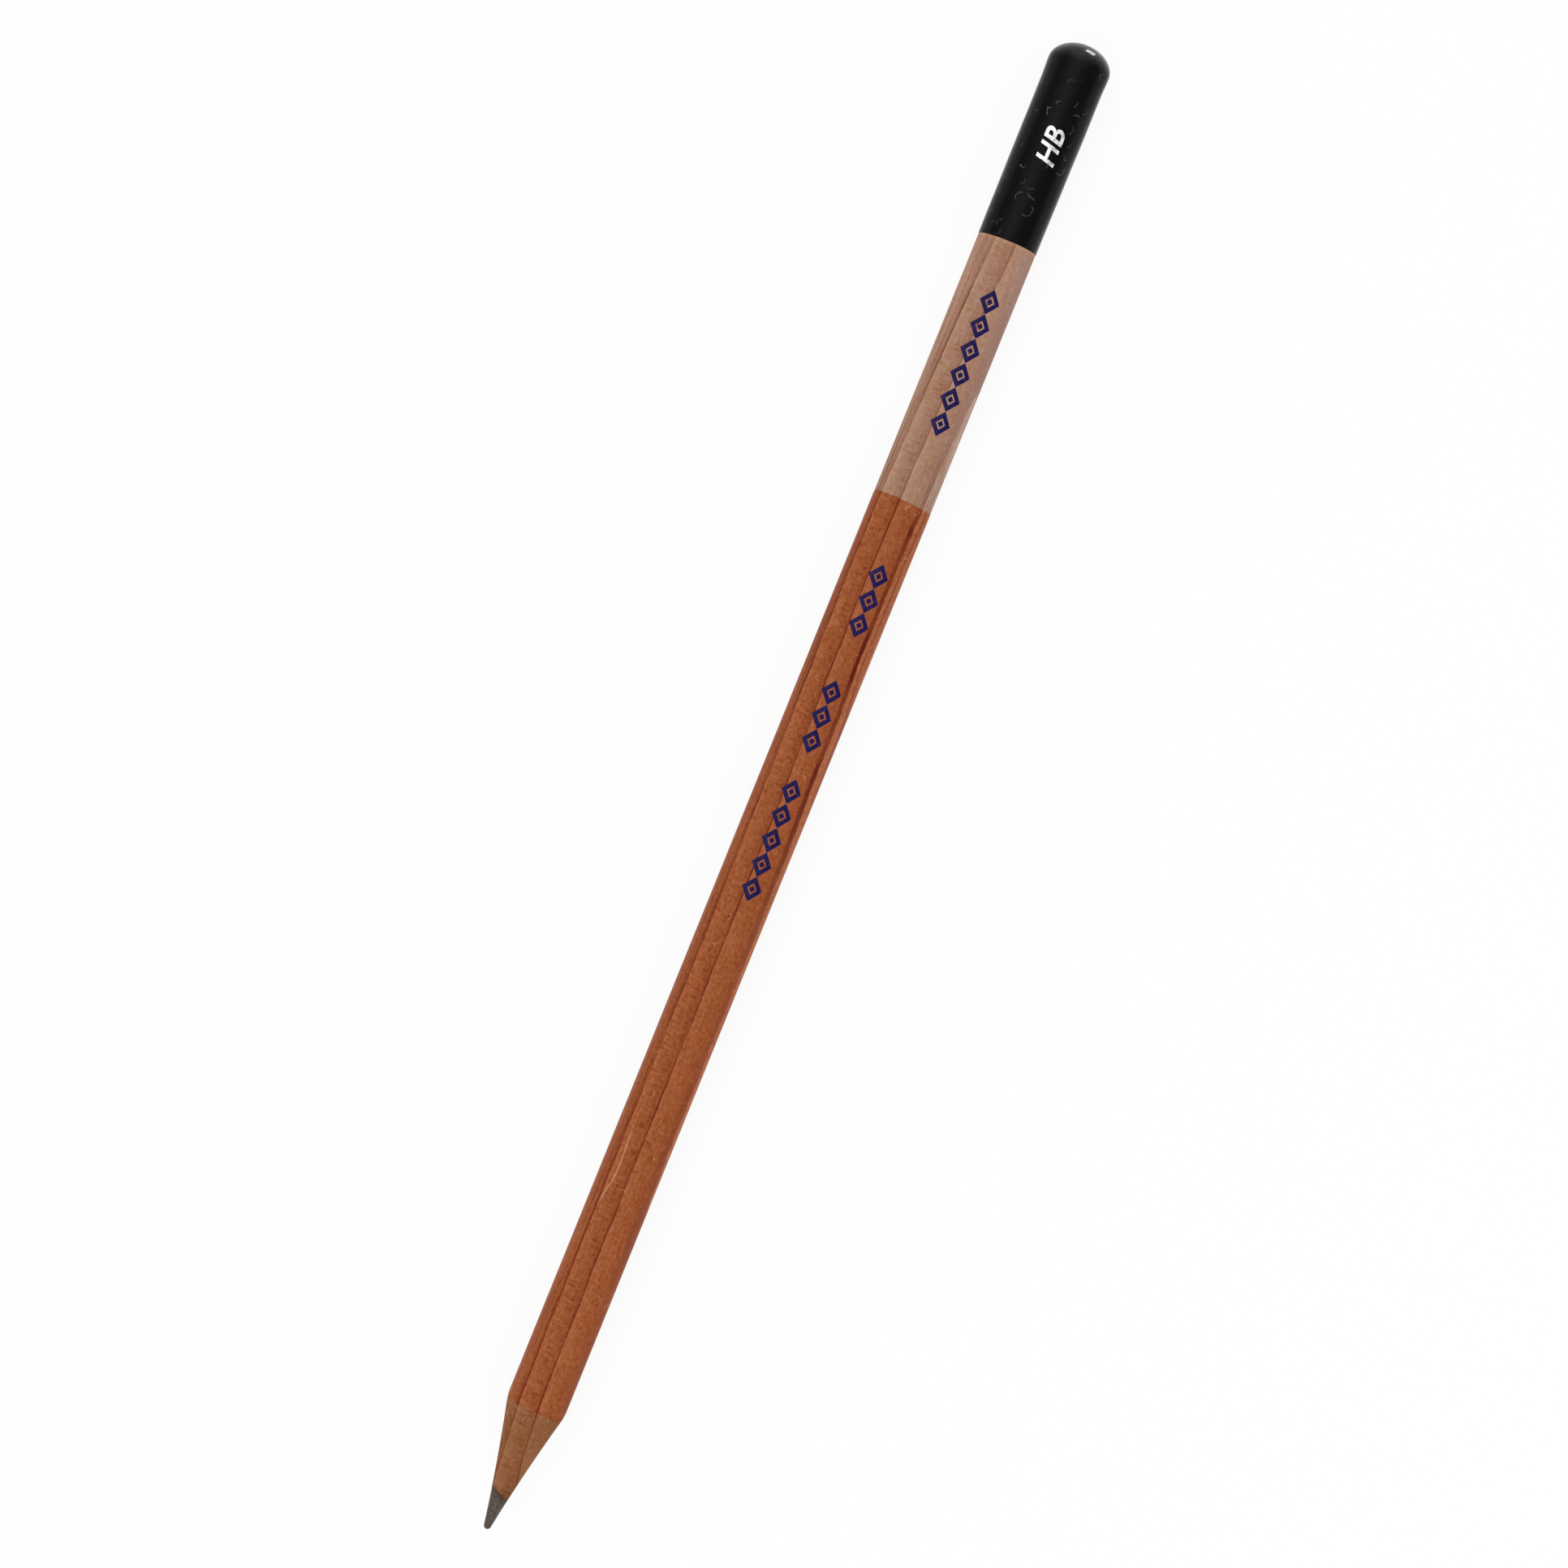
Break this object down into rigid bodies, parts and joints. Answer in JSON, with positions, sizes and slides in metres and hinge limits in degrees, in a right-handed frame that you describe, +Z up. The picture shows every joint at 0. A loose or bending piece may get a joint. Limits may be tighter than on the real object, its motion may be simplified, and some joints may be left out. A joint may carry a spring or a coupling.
{
  "type": "graphite pencil",
  "caption": "Round wooden graphite pencil, sharpened at one end, with a tinted barrel, a pale band and a black dipped end.",
  "frame": {"origin": "on the table under the middle of the pencil's length, at the lowest point of the lying pencil", "axes": "+X along the pencil from its point to its dipped end, +Z up, the glue seam level in the XY plane at axis height"},
  "size_m": [0.1778, 0.0072, 0.0072],
  "materials": {
    "cedar": "matte",
    "dried_glue": "satin",
    "graphite": "satin",
    "tinted_varnish": "satin",
    "clear_varnish": "satin",
    "black_lacquer": "gloss"
  },
  "bodies": {
    "root": {"upper_casing_half": "cedar", "lower_casing_half": "cedar", "left_glue_seam": "dried_glue", "right_glue_seam": "dried_glue", "graphite_core": "graphite", "core_glue_sleeve": "dried_glue", "tinted_varnish_coat": "tinted_varnish", "clear_varnish_coat": "clear_varnish", "black_end_cap": "black_lacquer"}
  },
  "joints": []
}
